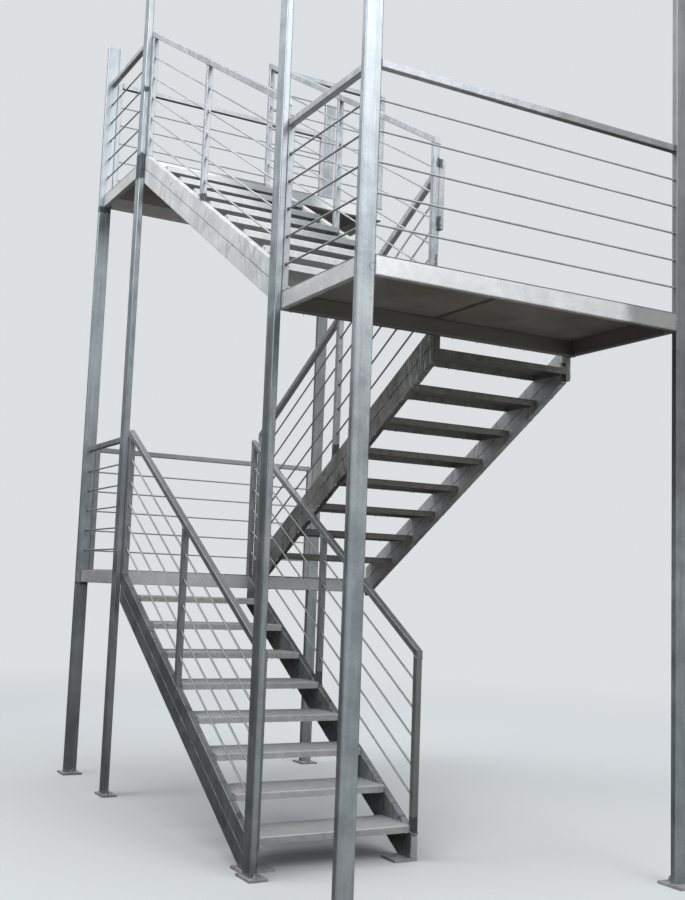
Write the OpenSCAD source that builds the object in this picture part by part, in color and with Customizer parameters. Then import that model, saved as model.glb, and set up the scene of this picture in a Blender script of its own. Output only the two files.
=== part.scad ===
/* [Columns] */
// Wide face of a column tube
column_w = 100; // [80:5:120]
// Narrow face of a column tube
column_t = 40; // [30:5:60]
// Wall of the column and beam tubes
tube_wall = 3; // [2:0.5:5]
// Outside corner radius of the column and beam tubes
tube_corner = 6; // [4:0.5:9]
// Height of the columns above the ground
column_top = 6100; // [5900:10:6500]
// Thickness of the closing plate on top of a column
cap_t = 4; // [2:0.5:8]

/* [Base plates] */
// Thickness of the base plates and foot plates
plate_t = 15; // [10:1:20]
// Length of a base plate along the flights
base_plate_l = 180; // [176:2:240]
// How far a corner base plate reaches past the wide faces' edges of its column
corner_plate_lip = 25; // [10:1:50]
// How far a middle base plate reaches past the outer face of its column
middle_plate_lip = 20; // [10:1:40]
// How far a middle base plate reaches past the inner face of its column
middle_plate_back = 50; // [20:1:80]
// Diameter of the anchor holes
anchor_hole_d = 14; // [10:1:18]
// Distance from a base plate's end to the middle of its anchor hole
hole_inset = 20; // [16:1:22]
// Length of the foot plate under a stringer of the lower flight
foot_plate_l = 160; // [140:1:200]
// Width of the foot plate under the lower flight's outer stringer
foot_plate_w = 200; // [150:5:240]
// Width of the foot plate under the lower flight's inner stringer
inner_foot_plate_w = 150; // [100:5:200]
// How far the outer foot plate reaches past its stringer's outer face
foot_plate_lip = 20; // [10:1:40]
// Gap between the outer foot plate and the base plate beside it
foot_plate_gap = 2; // [1:1:10]

/* [Levels] */
// Height of the lower landing
lower_landing_z = 1628; // [1500:1:1750]
// Height of the platform between the middle and the upper flight
platform_z = 3200; // [3100:5:3300]
// Height of the upper landing
upper_landing_z = 4790; // [4700:5:4900]
// Height of the first step above the ground
first_step_z = 200; // [170:1:210]
// Height of the upper flight's first step above the platform
upper_first_step = 186; // [165:1:200]
// Risers in each flight
risers = 9; // [8:1:10]

/* [Plan] */
// Length of the platform
platform_l = 975; // [900:5:1200]
// Length of the two landings
landing_l = 1070; // [950:5:1300]
// Clear width of a flight between its stringers
lane_w = 980; // [800:10:1200]
// How far the wall side columns reach past the side beams towards the wall
wall_column_out = 60; // [0:5:60]

/* [Beams and decks] */
// Height of the beams under the platform and the landings
beam_h = 100; // [80:1:120]
// Width of the beams
beam_t = 40; // [30:1:50]
// Thickness of the deck sheets
deck_t = 4; // [3:0.5:6]
// Joint between the two deck sheets of the platform
deck_seam = 3; // [1:0.5:8]

/* [Flights] */
// Horizontal distance from one step to the next
going = 300; // [270:5:310]
// Depth of a tread from front to back
tread_d = 330; // [320:5:340]
// Thickness of the tread sheet
tread_t = 4; // [3:0.5:6]
// Outside bend radius of a tread
tread_bend = 8; // [7:0.5:12]
// Height of the folded edges of a tread
tread_flange = 42; // [30:1:60]
// Gap between the last tread of the lower flight and the landing above it
lower_flight_gap = 10; // [5:1:40]
// Gap between the lower landing and the first tread of the middle flight
middle_flight_gap = 75; // [50:5:100]
// Gap between the platform and the first tread of the upper flight
upper_flight_gap = 10; // [5:1:40]
// Height of one of the two stacked tubes of a stringer
stringer_tube_h = 100; // [80:5:110]
// Width of a stringer
stringer_t = 40; // [40:1:50]
// Height of the line of step edges above a stringer's top face
stringer_drop = 30; // [10:1:40]
// How far the lower flight's stringers stand in front of the first step
stringer_nose = 25; // [10:1:40]
// Length of the short upright tube that carries a middle flight stringer
hanger_side = 40; // [30:1:50]
// How far that tube's foot stays above the stringer's lower corner
hanger_rise = 10; // [0:1:30]

/* [Railings] */
// Side of the square rail and post tubes
rail_side = 40; // [30:1:40]
// Outside corner radius of the rail tubes
rail_corner = 4; // [2:0.5:6]
// How far the side faces of a post lie inside those of the rail over it
post_inset = 0.5; // [0.3:0.1:1]
// Height of the railings above the platform and the landings
rail_h = 1010; // [940:10:1100]
// Height of the lower flight's railings above the line of step edges
lower_rail_h = 1020; // [900:10:1050]
// Height of the middle flight's railing above the line of step edges
middle_rail_h = 988; // [900:1:1050]
// Height of the upper flight's railings above the line of step edges
upper_rail_h = 972; // [900:1:1050]
// Diameter of the infill bars
bar_d = 12; // [8:1:16]
// Infill bars in a railing
bar_count = 5; // [3:1:5]
// Distance between infill bars of the platform and the landings
bar_pitch = 162; // [120:1:170]
// Upright distance between infill bars of the lower and the upper flight
flight_bar_pitch = 165; // [120:1:170]
// Distance from the top of the rail down to the first infill bar
first_bar_drop = 206; // [150:1:220]
// Upright distance between infill bars of the middle flight
middle_bar_pitch = 170; // [120:1:175]
// Distance from the top of the middle handrail down to its first infill bar
middle_bar_drop = 185; // [150:1:220]
// Length of the short upright tube at the top end of the middle handrail
end_tube_l = 446; // [420:1:520]
// How far that tube stands above the middle handrail
end_tube_rise = 33; // [20:1:90]
// Thickness of the strip that holds the lower bars' ends below that tube
bar_strip_t = 8; // [6:0.5:10]

/* [Hidden] */

// Overshoot of a cutting body past the face that it cuts
over = 2;
steel = [0.62, 0.65, 0.66];
dark_steel = [0.35, 0.36, 0.37];
steps = risers - 1;
rail_half = rail_side / 2;

// Plan lines, with the middle of the stair at x = 0 and y = 0
flight_l = (steps - 1) * going + tread_d + middle_flight_gap;
frame_l = platform_l + landing_l + flight_l;
frame_w = column_t + 4 * stringer_t + 2 * lane_w + wall_column_out;
near_x = frame_l / 2;
far_x = -near_x;
platform_x = near_x - platform_l;
landing_x = far_x + landing_l;
outer_y = -frame_w / 2;
wall_y = frame_w / 2;
side_y = wall_y - wall_column_out;

// Across the stair: outer plane, outer lane, plane between the flights, wall lane
plane_y = outer_y + column_t;
outer_lane_y = plane_y + stringer_t;
between_y = outer_lane_y + lane_w + stringer_t;
wall_lane_y = between_y + stringer_t;
wall_plane_y = wall_lane_y + lane_w;
seam_y = between_y - stringer_t / 2;

// Middle columns stand beside the platform's and the landings' edge beams
near_middle_x = platform_x + beam_t - column_w;
far_middle_x = landing_x - column_w;

// Rises of the three flights
lower_rise = (lower_landing_z - first_step_z) / steps;
middle_rise = (platform_z - lower_landing_z) / risers;
upper_rise = (upper_landing_z - platform_z - upper_first_step) / steps;

// Places of the first step edges
lower_x = landing_x + lower_flight_gap + tread_d + (steps - 1) * going;
middle_x = platform_x - tread_d - (steps - 1) * going;
upper_x = platform_x - upper_flight_gap;
hanger_x = platform_x - hanger_side;

// Levels of the beams' lower faces
platform_beam_z = platform_z - deck_t - beam_h;
lower_beam_z = lower_landing_z - deck_t - beam_h;
upper_beam_z = upper_landing_z - deck_t - beam_h;

// Slope of a flight, and height of its line of step edges
function slope(rise) = atan(rise / going);
function edge_z(x, first, rise) = first + x * rise / going;

// Flat shapes, drawn from their lower left corner

module rounded(a, b, r) {
    translate([0, r]) square([a, b - 2 * r]);
    translate([r, 0]) square([a - 2 * r, b]);
    for (x = [r, a - r], y = [r, b - r])
        translate([x, y]) circle(r, $fn = 32);
}

module tube_section(a, b) {
    inner_r = max(tube_corner - tube_wall, 0.5);
    difference() {
        rounded(a, b, tube_corner);
        translate([tube_wall, tube_wall])
            rounded(a - 2 * tube_wall, b - 2 * tube_wall, inner_r);
    }
}

module folded_half(thick) {
    inner_r = tread_bend - tread_t;
    r = thick ? inner_r : tread_bend;
    a = thick ? tread_t : 0;
    translate([a, -tread_flange - (thick ? over : 0)])
        square([tread_d - 2 * a, tread_flange - tread_bend + (thick ? over : 0)]);
    translate([tread_bend, -tread_flange])
        square([tread_d - 2 * tread_bend, tread_flange - a]);
    for (x = [tread_bend, tread_d - tread_bend])
        translate([x, -tread_bend]) circle(r, $fn = 32);
}

module tread_section() {
    difference() {
        folded_half(false);
        folded_half(true);
    }
}

// Straight members

module column(x, y, size_x, size_y) {
    color(steel)
        translate([x, y, plate_t])
            linear_extrude(column_top - cap_t - plate_t) tube_section(size_x, size_y);
}

module beam_x(x0, x1, y, z) {
    translate([x0, y, z])
        rotate([90, 0, 90]) linear_extrude(x1 - x0) tube_section(beam_t, beam_h);
}

module beam_y(x, y0, y1, z) {
    translate([x, y1, z])
        rotate([90, 0, 0]) linear_extrude(y1 - y0) tube_section(beam_t, beam_h);
}

module post(x, y, z0, z1) {
    translate([x, y + post_inset, z0]) linear_extrude(z1 - z0)
        rounded(rail_side, rail_side - 2 * post_inset, rail_corner);
}

// Level rail with its infill bars, along x or along y; z is the top of the rail
module rail_x(x0, x1, y, z) {
    translate([x0, y, z - rail_side])
        rotate([90, 0, 90]) linear_extrude(x1 - x0) rounded(rail_side, rail_side, rail_corner);
    for (k = [0 : bar_count - 1])
        translate([x0, y + rail_half, z - first_bar_drop - k * bar_pitch])
            rotate([0, 90, 0]) cylinder(h = x1 - x0, d = bar_d, $fn = 32);
}

module rail_y(x, y0, y1, z) {
    translate([x, y1, z - rail_side])
        rotate([90, 0, 0]) linear_extrude(y1 - y0) rounded(rail_side, rail_side, rail_corner);
    for (k = [0 : bar_count - 1])
        translate([x + rail_half, y1, z - first_bar_drop - k * bar_pitch])
            rotate([90, 0, 0]) cylinder(h = y1 - y0, d = bar_d, $fn = 32);
}

// Flights, drawn rising along +x from the first step edge

module lower_place() {
    translate([lower_x, 0, 0]) mirror([1, 0, 0]) children();
}

module middle_place() {
    translate([middle_x, 0, lower_landing_z]) children();
}

module upper_place() {
    translate([upper_x, 0, platform_z]) mirror([1, 0, 0]) children();
}

// Keeps the part between two upright planes and above a level
module between(x0, x1, z_low) {
    intersection() {
        children();
        translate([x0, -frame_w, z_low]) cube([x1 - x0, 2 * frame_w, 2 * column_top]);
    }
}

// Long member along the flight's slope, its lower left corner at height z over x = 0
module inclined(y, z, rise) {
    translate([0, y, z]) rotate([0, -slope(rise), 0])
        translate([-flight_l / 4, 0, 0]) rotate([90, 0, 90])
            linear_extrude(flight_l * 1.6) children();
}

module stringer(x0, x1, y, first, rise, z_low) {
    color(steel)
        between(x0, x1, z_low)
            inclined(y, first - stringer_drop, rise) {
                translate([0, -stringer_tube_h])
                    rounded(stringer_t, stringer_tube_h, tube_corner);
                translate([0, -2 * stringer_tube_h])
                    rounded(stringer_t, stringer_tube_h, tube_corner);
            }
}

module treads(y, first, rise) {
    color(steel)
        for (k = [0 : steps - 1])
            translate([k * going, y + lane_w, first + k * rise])
                rotate([90, 0, 0]) linear_extrude(lane_w) tread_section();
}

// Sloping handrail, and its infill bars from height z down, cut upright at both ends
module handrail(x0, x1, y, z, rise) {
    between(x0, x1, 0)
        inclined(y, z, rise)
            translate([0, -rail_side]) rounded(rail_side, rail_side, rail_corner);
}

module sloping_bars(x0, x1, y, z, pitch, rise) {
    between(x0, x1, 0)
        for (k = [0 : bar_count - 1])
            inclined(y, z - k * pitch, rise)
                translate([rail_half, 0]) circle(d = bar_d, $fn = 32);
}

module sloping_rail(x0, x1, y, z, rise) {
    handrail(x0, x1, y, z, rise);
    sloping_bars(x0, x1, y, z - first_bar_drop, flight_bar_pitch, rise);
}

// Post from a stringer's top face, or from height z0, up into the sloping handrail
module stringer_post(x, y, first, h, rise) {
    intersection() {
        post(x, y, -column_top, column_top);
        translate([0, 0, first - stringer_drop]) rotate([0, -slope(rise), 0])
            translate([-frame_l, -frame_w, 0])
                cube([3 * frame_l, 2 * frame_w,
                      (stringer_drop + h) * cos(slope(rise)) - rail_half]);
    }
}

module deck_post(x, y, z0, z1, rise) {
    intersection() {
        post(x, y, z0, column_top);
        translate([0, 0, z1]) rotate([0, -slope(rise), 0])
            translate([-frame_l, -frame_w, -rail_half - column_top])
                cube([3 * frame_l, 2 * frame_w, column_top]);
    }
}

// Columns

module near_outer_column() { column(near_x - column_t, outer_y, column_t, column_w); }
module near_wall_column() { column(near_x - column_t, wall_y - column_w, column_t, column_w); }
module near_middle_column() { column(near_middle_x, outer_y, column_w, column_t); }
module far_outer_column() { column(far_x, outer_y, column_t, column_w); }
module far_wall_column() { column(far_x, wall_y - column_w, column_t, column_w); }
module far_middle_column() { column(far_middle_x, outer_y, column_w, column_t); }

module column_caps() {
    color(steel)
        translate([0, 0, column_top - cap_t]) {
            for (x = [near_x - column_t, far_x], y = [outer_y, wall_y - column_w])
                translate([x, y, 0])
                    linear_extrude(cap_t) rounded(column_t, column_w, tube_corner);
            for (x = [near_middle_x, far_middle_x])
                translate([x, outer_y, 0])
                    linear_extrude(cap_t) rounded(column_w, column_t, tube_corner);
        }
}

// Plate with an anchor hole near each end; x is its middle
module base_plate(x, y0, y1, hole_y) {
    difference() {
        translate([x - base_plate_l / 2, y0, 0]) cube([base_plate_l, y1 - y0, plate_t]);
        for (s = [-1, 1])
            translate([x + s * (base_plate_l / 2 - hole_inset), hole_y, -over])
                cylinder(h = plate_t + 2 * over, d = anchor_hole_d, $fn = 32);
    }
}

module base_plates() {
    color(dark_steel) {
        for (x = [near_x - column_t / 2, far_x + column_t / 2], y = [outer_y, wall_y - column_w])
            base_plate(x, y - corner_plate_lip, y + column_w + corner_plate_lip, y + column_w / 2);
        for (x = [near_middle_x, far_middle_x])
            base_plate(x + column_w / 2, outer_y - middle_plate_lip,
                       plane_y + middle_plate_back, outer_y + column_t / 2);
    }
}

module stringer_foot_plates() {
    outer_x = near_middle_x + column_w / 2 - base_plate_l / 2 - foot_plate_gap - foot_plate_l;
    color(dark_steel) {
        translate([outer_x, plane_y - foot_plate_lip, 0])
            cube([foot_plate_l, foot_plate_w, plate_t]);
        translate([lower_x + stringer_nose - foot_plate_l, between_y - inner_foot_plate_w, 0])
            cube([foot_plate_l, inner_foot_plate_w, plate_t]);
    }
}

// Platform

module platform_cross_beams() {
    color(steel) {
        beam_y(near_x - beam_t, outer_y + column_w, wall_y - column_w, platform_beam_z);
        beam_y(platform_x, plane_y, side_y, platform_beam_z);
    }
}

module platform_side_beams() {
    color(steel)
        for (y = [plane_y, side_y - beam_t])
            beam_x(platform_x + beam_t, near_x - column_t, y, platform_beam_z);
}

module platform_deck(y0, y1) {
    color(steel)
        translate([0, 0, platform_z - deck_t]) difference() {
            translate([platform_x, y0, 0]) cube([platform_l, y1 - y0, deck_t]);
            for (y = [outer_y, wall_y - column_w])
                translate([near_x - column_t, y - over, -over])
                    cube([column_t + over, column_w + (y < 0 ? 1 : 2) * over, deck_t + 2 * over]);
        }
}

module platform_deck_outer() { platform_deck(plane_y, seam_y - deck_seam / 2); }
module platform_deck_wall() { platform_deck(seam_y + deck_seam / 2, side_y); }

// Landings

module landing_cross_beams(z) {
    color(steel) {
        beam_y(far_x, outer_y + column_w, wall_y - column_w, z);
        beam_y(landing_x - beam_t, plane_y, side_y, z);
    }
}

module landing_side_beams(z) {
    color(steel)
        for (y = [plane_y, side_y - beam_t])
            beam_x(far_x + column_t, landing_x - beam_t, y, z);
}

module landing_deck(z) {
    color(steel)
        translate([0, 0, z - deck_t]) {
            translate([far_x + column_t, plane_y, 0])
                cube([landing_l - column_t, side_y - plane_y, deck_t]);
            translate([far_x, outer_y + column_w, 0])
                cube([landing_l / 2, frame_w - 2 * column_w, deck_t]);
        }
}

module lower_landing_cross_beams() { landing_cross_beams(lower_beam_z); }
module lower_landing_side_beams() { landing_side_beams(lower_beam_z); }
module lower_landing_deck() { landing_deck(lower_landing_z); }
module upper_landing_cross_beams() { landing_cross_beams(upper_beam_z); }
module upper_landing_side_beams() { landing_side_beams(upper_beam_z); }
module upper_landing_deck() { landing_deck(upper_landing_z); }

// Stringers and treads

module lower_stringer(y) {
    lower_place()
        stringer(-stringer_nose, lower_x - landing_x, y, first_step_z, lower_rise, plate_t);
}

module middle_stringer(y) {
    middle_place()
        stringer(landing_x - middle_x, hanger_x - middle_x, y,
                 middle_rise, middle_rise, -column_top);
}

module upper_stringer(y) {
    upper_place()
        stringer(-upper_flight_gap, upper_x - landing_x, y,
                 upper_first_step, upper_rise, -column_top);
}

module lower_flight_outer_stringer() { lower_stringer(plane_y); }
module lower_flight_inner_stringer() { lower_stringer(between_y - stringer_t); }
module middle_flight_inner_stringer() { middle_stringer(between_y); }
module middle_flight_wall_stringer() { middle_stringer(wall_plane_y); }
module upper_flight_outer_stringer() { upper_stringer(plane_y); }
module upper_flight_inner_stringer() { upper_stringer(between_y - stringer_t); }

module lower_flight_treads() { lower_place() treads(outer_lane_y, first_step_z, lower_rise); }
module middle_flight_treads() { middle_place() treads(wall_lane_y, middle_rise, middle_rise); }
module upper_flight_treads() { upper_place() treads(outer_lane_y, upper_first_step, upper_rise); }

module middle_flight_hangers() {
    foot_z = lower_landing_z + edge_z(hanger_x - middle_x, middle_rise, middle_rise)
        - stringer_drop - 2 * stringer_tube_h / cos(slope(middle_rise)) + hanger_rise;
    color(dark_steel)
        for (y = [between_y, wall_plane_y])
            translate([hanger_x, y, foot_z])
                linear_extrude(platform_z - deck_t - foot_z)
                    rounded(hanger_side, stringer_t, rail_corner);
}

// Railings of the platform and the landings

module platform_near_rail() {
    color(steel)
        rail_y(near_x - rail_side, outer_y + column_w, wall_y - column_w, platform_z + rail_h);
}

module platform_outer_rail() {
    color(steel) {
        rail_x(platform_x, near_x - column_t, plane_y, platform_z + rail_h);
        post(platform_x, plane_y, platform_z, platform_z + rail_h - rail_half);
    }
}

module landing_outer_rail(z) {
    color(steel) {
        rail_x(far_x + column_t, far_middle_x + rail_side, plane_y, z + rail_h);
        post(far_middle_x, plane_y, z, z + rail_h - rail_half);
    }
}

module landing_far_rail(z) {
    y0 = outer_y + column_w;
    y1 = wall_y - column_w;
    color(steel) {
        rail_y(far_x, y0, y1, z + rail_h);
        for (y = [y0, y1 - rail_side])
            post(far_x, y, z, z + rail_h - rail_half);
    }
}

module lower_landing_outer_rail() { landing_outer_rail(lower_landing_z); }
module lower_landing_far_rail() { landing_far_rail(lower_landing_z); }
module upper_landing_outer_rail() { landing_outer_rail(upper_landing_z); }
module upper_landing_far_rail() { landing_far_rail(upper_landing_z); }

module upper_landing_near_rail() {
    x = landing_x - rail_side;
    color(steel) {
        rail_y(x, between_y, side_y, upper_landing_z + rail_h);
        post(x, side_y - rail_side, upper_landing_z, upper_landing_z + rail_h - rail_half);
    }
}

// Railings of the flights

inner_rail_y = between_y - rail_side;

module lower_flight_outer_rail() {
    x0 = lower_x - near_middle_x - rail_side;
    x1 = lower_x - landing_x;
    color(steel) lower_place() {
        sloping_rail(x0, x1, plane_y, first_step_z + lower_rail_h, lower_rise);
        for (x = [x0, lower_x - rail_half, x1 - rail_side])
            stringer_post(x, plane_y, first_step_z, lower_rail_h, lower_rise);
    }
}

module lower_flight_inner_rail() {
    x0 = -stringer_nose;
    x1 = lower_x - landing_x;
    color(steel) lower_place() {
        sloping_rail(x0, x1 + rail_side, inner_rail_y, first_step_z + lower_rail_h, lower_rise);
        for (x = [x0, lower_x - rail_half])
            stringer_post(x, inner_rail_y, first_step_z, lower_rail_h, lower_rise);
        deck_post(x1, inner_rail_y, lower_landing_z, first_step_z + lower_rail_h, lower_rise);
    }
}

module middle_flight_rail() {
    x0 = landing_x - middle_x;
    x1 = platform_x - middle_x;
    end_x = x1 - rail_side;
    top_z = edge_z(end_x, middle_rise, middle_rise) + middle_rail_h;
    bar_z = top_z - middle_bar_drop - (bar_count - 1) * middle_bar_pitch;
    tube_z = top_z + end_tube_rise - end_tube_l;
    color(steel) middle_place() {
        handrail(x0, x1, between_y, middle_rise + middle_rail_h, middle_rise);
        sloping_bars(x0, end_x + bar_strip_t / 2, between_y,
                     middle_rise + middle_rail_h - middle_bar_drop, middle_bar_pitch, middle_rise);
        for (x = [x0, (x0 + x1) / 2 - rail_half])
            stringer_post(x, between_y, middle_rise, middle_rail_h, middle_rise);
        post(end_x, between_y, tube_z, top_z + end_tube_rise);
        translate([end_x + 1, between_y - post_inset, bar_z - bar_d])
            cube([bar_strip_t, rail_half + bar_d / 2 + post_inset, tube_z + over - bar_z + bar_d]);
    }
}

module upper_flight_outer_rail() {
    x0 = upper_x - near_middle_x - rail_side;
    x1 = upper_x - landing_x;
    color(steel) upper_place() {
        sloping_rail(x0, x1, plane_y, upper_first_step + upper_rail_h, upper_rise);
        for (x = [x0, upper_x - rail_half, x1 - rail_side])
            stringer_post(x, plane_y, upper_first_step, upper_rail_h, upper_rise);
    }
}

module upper_flight_inner_rail() {
    x0 = -upper_flight_gap;
    x1 = upper_x - landing_x;
    color(steel) upper_place() {
        sloping_rail(x0, x1 + rail_side, inner_rail_y, upper_first_step + upper_rail_h, upper_rise);
        for (x = [x0, upper_x - rail_half])
            stringer_post(x, inner_rail_y, upper_first_step, upper_rail_h, upper_rise);
        deck_post(x1, inner_rail_y, upper_landing_z - platform_z,
                  upper_first_step + upper_rail_h, upper_rise);
    }
}

near_outer_column();
near_wall_column();
near_middle_column();
far_outer_column();
far_wall_column();
far_middle_column();
column_caps();
base_plates();
stringer_foot_plates();
platform_cross_beams();
platform_side_beams();
platform_deck_outer();
platform_deck_wall();
lower_landing_cross_beams();
lower_landing_side_beams();
lower_landing_deck();
upper_landing_cross_beams();
upper_landing_side_beams();
upper_landing_deck();
lower_flight_outer_stringer();
lower_flight_inner_stringer();
lower_flight_treads();
middle_flight_inner_stringer();
middle_flight_wall_stringer();
middle_flight_treads();
middle_flight_hangers();
upper_flight_outer_stringer();
upper_flight_inner_stringer();
upper_flight_treads();
platform_near_rail();
platform_outer_rail();
lower_landing_outer_rail();
lower_landing_far_rail();
upper_landing_outer_rail();
upper_landing_far_rail();
upper_landing_near_rail();
lower_flight_outer_rail();
lower_flight_inner_rail();
middle_flight_rail();
upper_flight_outer_rail();
upper_flight_inner_rail();
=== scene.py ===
import bpy, bmesh, math, random
from mathutils import Matrix, Vector


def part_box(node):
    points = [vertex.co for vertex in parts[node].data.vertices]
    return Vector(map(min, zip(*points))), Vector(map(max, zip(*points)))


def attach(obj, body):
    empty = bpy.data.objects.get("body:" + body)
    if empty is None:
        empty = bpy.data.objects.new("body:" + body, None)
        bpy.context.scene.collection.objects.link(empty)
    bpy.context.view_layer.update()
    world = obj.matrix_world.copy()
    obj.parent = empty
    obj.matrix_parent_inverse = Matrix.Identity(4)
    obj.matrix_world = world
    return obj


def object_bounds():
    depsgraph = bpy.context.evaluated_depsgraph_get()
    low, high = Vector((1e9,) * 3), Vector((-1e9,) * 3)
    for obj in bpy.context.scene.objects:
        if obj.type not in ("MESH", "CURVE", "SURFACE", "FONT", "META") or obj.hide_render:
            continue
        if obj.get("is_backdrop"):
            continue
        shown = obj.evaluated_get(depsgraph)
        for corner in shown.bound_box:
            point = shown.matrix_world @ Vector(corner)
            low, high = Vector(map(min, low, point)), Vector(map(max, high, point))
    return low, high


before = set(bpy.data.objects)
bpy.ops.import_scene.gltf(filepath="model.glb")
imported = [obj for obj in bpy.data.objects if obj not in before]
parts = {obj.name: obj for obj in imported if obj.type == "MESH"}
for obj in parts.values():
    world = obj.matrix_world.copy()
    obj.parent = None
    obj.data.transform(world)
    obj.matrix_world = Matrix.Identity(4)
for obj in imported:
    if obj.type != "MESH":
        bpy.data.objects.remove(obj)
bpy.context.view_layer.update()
scene = bpy.context.scene
print("frame loaded", len(parts))


# Shader nodes: add() makes a node and feeds its sockets, by name or by number

def add(tree, kind, feeds=None, **settings):
    node = tree.nodes.new("ShaderNode" + kind)
    for key, value in settings.items():
        setattr(node, key, value)
    for key, value in (feeds or {}).items():
        if isinstance(value, bpy.types.NodeSocket):
            tree.links.new(value, node.inputs[key])
        else:
            node.inputs[key].default_value = value
    return node


def calc(tree, operation, a, b=0.0):
    return add(tree, "Math", {0: a, 1: b}, operation=operation).outputs[0]


def ramp(tree, value, low, high, outLow=0.0, outHigh=1.0):
    feeds = {"Value": value, "From Min": low, "From Max": high, "To Min": outLow, "To Max": outHigh}
    return add(tree, "MapRange", feeds, interpolation_type="SMOOTHSTEP").outputs["Result"]


def mixColor(tree, amount, a, b):
    return add(tree, "Mix", {0: amount, 6: a, 7: b}, data_type="RGBA").outputs[2]


def noise(tree, vector, scale, detail=4.0, roughness=0.55):
    feeds = {"Vector": vector, "Scale": scale, "Detail": detail, "Roughness": roughness}
    return add(tree, "TexNoise", feeds).outputs["Fac"]


def stretch(tree, vector, scale, turn=0.0):
    feeds = {"Vector": vector, "Rotation": (0, turn, 0), "Scale": scale}
    return add(tree, "Mapping", feeds).outputs[0]


def newGroup(name, inputs, outputs):
    tree = bpy.data.node_groups.new(name, "ShaderNodeTree")
    for label, kind in inputs.items():
        tree.interface.new_socket(label, in_out="INPUT", socket_type="NodeSocket" + kind)
    for label, kind in outputs.items():
        tree.interface.new_socket(label, in_out="OUTPUT", socket_type="NodeSocket" + kind)
    given = tree.nodes.new("NodeGroupInput").outputs
    result = tree.nodes.new("NodeGroupOutput").inputs
    return tree, given, result


# Hot-dip zinc: soft clouds, flat crystals, runs along or across the member, thin dip lines, small pits
grain = {"wide": 1.3, "wideShare": 0.8, "crystals": 95.0, "bends": 0.22, "pits": 130.0, "fine": 400.0,
         "toneRange": (0.5, 1.3), "roughRange": (0.4, 0.52), "fineRough": 0.08, "lineWidth": (0.016, 0.002),
         "lineCloud": (0.36, 0.52), "pitRange": (0.66, 0.74), "pitDepth": 0.5, "cloudHeight": 0.6,
         "fineHeight": 0.18}


def makeZincSkin():
    tree, given, result = newGroup(
        "zincSkin",
        {"Vector": "Vector", "Runs Vector": "Vector", "Dark": "Color", "Light": "Color",
         "Cloud Scale": "Float", "Crystals": "Float", "Runs": "Float", "Lines": "Float", "Pits": "Float"},
        {"Color": "Color", "Roughness": "Float", "Height": "Float"})
    vector = given["Vector"]
    cloud = noise(tree, vector, given["Cloud Scale"], 3.0)
    wide = noise(tree, vector, grain["wide"], 2.0, 0.5)
    runs = noise(tree, given["Runs Vector"], 1.0, 3.0)
    cells = add(tree, "TexVoronoi", {"Vector": vector, "Scale": grain["crystals"]}).outputs["Color"]
    crystal = add(tree, "SeparateColor", {0: cells}).outputs[0]
    tone = calc(tree, "ADD", cloud, calc(tree, "MULTIPLY", wide, grain["wideShare"]))
    for value, amount in ((runs, given["Runs"]), (crystal, given["Crystals"])):
        tone = calc(tree, "ADD", tone, calc(tree, "MULTIPLY", calc(tree, "SUBTRACT", value, 0.5), amount))
    bends = noise(tree, given["Runs Vector"], grain["bends"], 2.0, 0.5)
    line = ramp(tree, calc(tree, "ABSOLUTE", calc(tree, "SUBTRACT", bends, 0.5)), *grain["lineWidth"])
    line = calc(tree, "MULTIPLY", line, ramp(tree, wide, *grain["lineCloud"]))
    tone = calc(tree, "SUBTRACT", tone, calc(tree, "MULTIPLY", line, given["Lines"]))
    pits = ramp(tree, noise(tree, vector, grain["pits"], 2.0), *grain["pitRange"])
    pits = calc(tree, "MULTIPLY", pits, given["Pits"])
    fine = noise(tree, vector, grain["fine"], 3.0, 0.6)
    color = mixColor(tree, ramp(tree, tone, *grain["toneRange"]), given["Dark"], given["Light"])
    tree.links.new(mixColor(tree, pits, color, given["Dark"]), result["Color"])
    rough = ramp(tree, tone, *grain["toneRange"], *grain["roughRange"])
    rough = calc(tree, "ADD", rough, calc(tree, "MULTIPLY", fine, grain["fineRough"]))
    tree.links.new(rough, result["Roughness"])
    height = calc(tree, "ADD", calc(tree, "MULTIPLY", cloud, grain["cloudHeight"]),
                  calc(tree, "MULTIPLY", fine, grain["fineHeight"]))
    height = calc(tree, "SUBTRACT", height, calc(tree, "MULTIPLY", pits, grain["pitDepth"]))
    tree.links.new(height, result["Height"])
    return tree


# One patch of brushed paint, and also each box of painted shade: a box with a ragged edge, sharp or soft
patchEdge = {"scale": 38.0, "unevenness": 0.05, "inside": -0.6}


def largestSide(tree, sides):
    return calc(tree, "MAXIMUM", calc(tree, "MAXIMUM", sides[0], sides[1]), sides[2])


def makePaintAndShadePatch():
    tree, given, result = newGroup(
        "paintAndShadePatch", {"Vector": "Vector", "Centre": "Vector", "Half Size": "Vector", "Soft": "Float"},
        {"Mask": "Float"})
    away = add(tree, "VectorMath", {0: given["Vector"], 1: given["Centre"]}, operation="SUBTRACT")
    away = add(tree, "VectorMath", {0: away.outputs[0]}, operation="ABSOLUTE")
    away = add(tree, "VectorMath", {0: away.outputs[0], 1: given["Half Size"]}, operation="SUBTRACT")
    reach = largestSide(tree, add(tree, "SeparateXYZ", {0: away.outputs[0]}).outputs)
    ragged = calc(tree, "SUBTRACT", noise(tree, given["Vector"], patchEdge["scale"], 3.0), 0.5)
    ragged = calc(tree, "MULTIPLY", ragged, patchEdge["unevenness"])
    inside = calc(tree, "MULTIPLY", given["Soft"], patchEdge["inside"])
    tree.links.new(ramp(tree, calc(tree, "ADD", reach, ragged), given["Soft"], inside), result["Mask"])
    return tree


# Rounded edges of upright and level tubes: painted highlight on the rounding, a fine painted dark line where
# it begins
rounding = {"bright": (0.95, 0.86), "lineStart": (0.93, 0.965), "lineEnd": (0.9992, 0.995)}


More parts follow.
